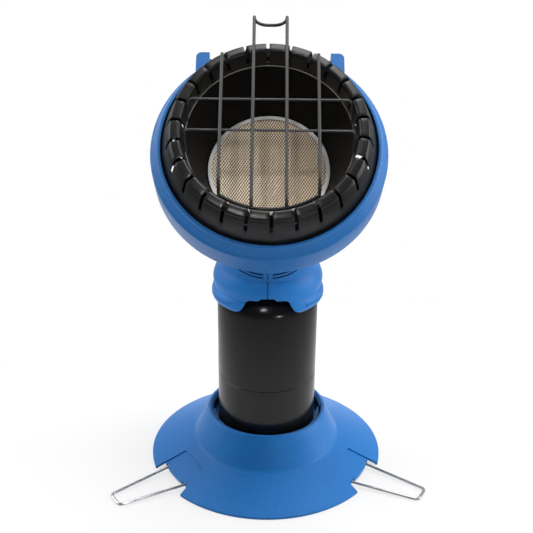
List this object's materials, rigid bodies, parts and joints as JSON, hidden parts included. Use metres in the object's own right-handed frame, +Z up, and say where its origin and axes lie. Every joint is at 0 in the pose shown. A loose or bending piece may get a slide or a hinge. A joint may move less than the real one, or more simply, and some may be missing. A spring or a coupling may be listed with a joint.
{
  "type": "portable propane heater",
  "caption": "Portable radiant heater: a tilted round slotted reflector head with a wire guard and hook, on a gas cylinder that stands in a wide flared base with fold-out wire legs.",
  "frame": {"origin": "on the floor, on the gas cylinder's axis, at the underside of the base", "axes": "+Z up along the cylinder's axis; -Y towards the front, the side the head faces; +X to the right seen from the front"},
  "size_m": [0.3092, 0.2937, 0.4408],
  "materials": {
    "blue_moulding": "fine-grained satin",
    "black_enamel": "satin black enamel",
    "bottle_paint": "semi-gloss black",
    "chromed_wire": "bright",
    "guard_paint": "dark grey satin",
    "burner_steel": "matt",
    "mesh_wire": "woven, tan",
    "burner_ceramic": "unglazed",
    "tube_steel": "plated",
    "turned_brass": "turned",
    "die_cast": "as cast",
    "screw_zinc": "zinc plated",
    "seal_rubber": "matt",
    "fibre_gasket": "matt felt",
    "knob_plastic": "matt black"
  },
  "bodies": {
    "base": {"base_skirt": "blue_moulding", "cylinder_socket": "blue_moulding", "leg_clips": "blue_moulding"},
    "rear_leg": {"leg_rear": "chromed_wire"},
    "left_leg": {"leg_left": "chromed_wire"},
    "right_leg": {"leg_right": "chromed_wire"},
    "cylinder": {"cylinder_shell": "bottle_paint", "cylinder_foot": "bottle_paint", "cylinder_valve": "turned_brass", "valve_core": "turned_brass", "relief_valve": "turned_brass"},
    "head": {"head_bezel": "blue_moulding", "rear_shell": "blue_moulding", "slotted_rim": "black_enamel", "reflector_dish": "black_enamel", "burner_ring": "burner_steel", "burner_screen": "mesh_wire", "burner_tile": "burner_ceramic", "tile_gasket": "fibre_gasket", "burner_pan": "burner_steel", "mixer_tube": "tube_steel", "jet": "turned_brass", "regulator_body": "die_cast", "inlet_nut": "turned_brass", "inlet_seal": "seal_rubber", "collar_left": "blue_moulding", "collar_right": "blue_moulding", "collar_screws": "screw_zinc", "guard_hook_wire": "guard_paint", "guard_side_wires": "guard_paint", "guard_cross_wires": "guard_paint"},
    "knob": {"control_knob": "knob_plastic", "valve_stem": "turned_brass"},
    "bail": {"carry_bail": "chromed_wire"}
  },
  "joints": [
    {"name": "rear_leg_fold", "type": "hinge", "parent": "base", "child": "rear_leg", "pos_m": [-0.00445, 0.0979, 0.004], "axis": [-0.999, -0.0454, 0], "range_deg": [0, 178]},
    {"name": "left_leg_fold", "type": "hinge", "parent": "base", "child": "left_leg", "pos_m": [-0.08256, -0.0528, 0.004], "axis": [0.5388, -0.8425, 0], "range_deg": [0, 178]},
    {"name": "right_leg_fold", "type": "hinge", "parent": "base", "child": "right_leg", "pos_m": [0.08701, -0.0451, 0.004], "axis": [0.4602, 0.8878, 0], "range_deg": [0, 178]},
    {"name": "cylinder_lift", "type": "slide", "parent": "base", "child": "cylinder", "axis": [0, 0, 1], "range_m": [0, 0.055]},
    {"name": "head_unscrew", "type": "hinge", "parent": "cylinder", "child": "head", "pos_m": [0, 0, 0.205], "axis": [0, 0, 1], "range_deg": [0, 360]},
    {"name": "knob_turn", "type": "hinge", "parent": "head", "child": "knob", "pos_m": [0, 0.0506, 0.229], "axis": [0, 1, 0], "range_deg": [0, 270]},
    {"name": "bail_swing", "type": "hinge", "parent": "head", "child": "bail", "pos_m": [0, 0.08698, 0.3913], "axis": [1, 0, 0], "range_deg": [0, 170]}
  ]
}
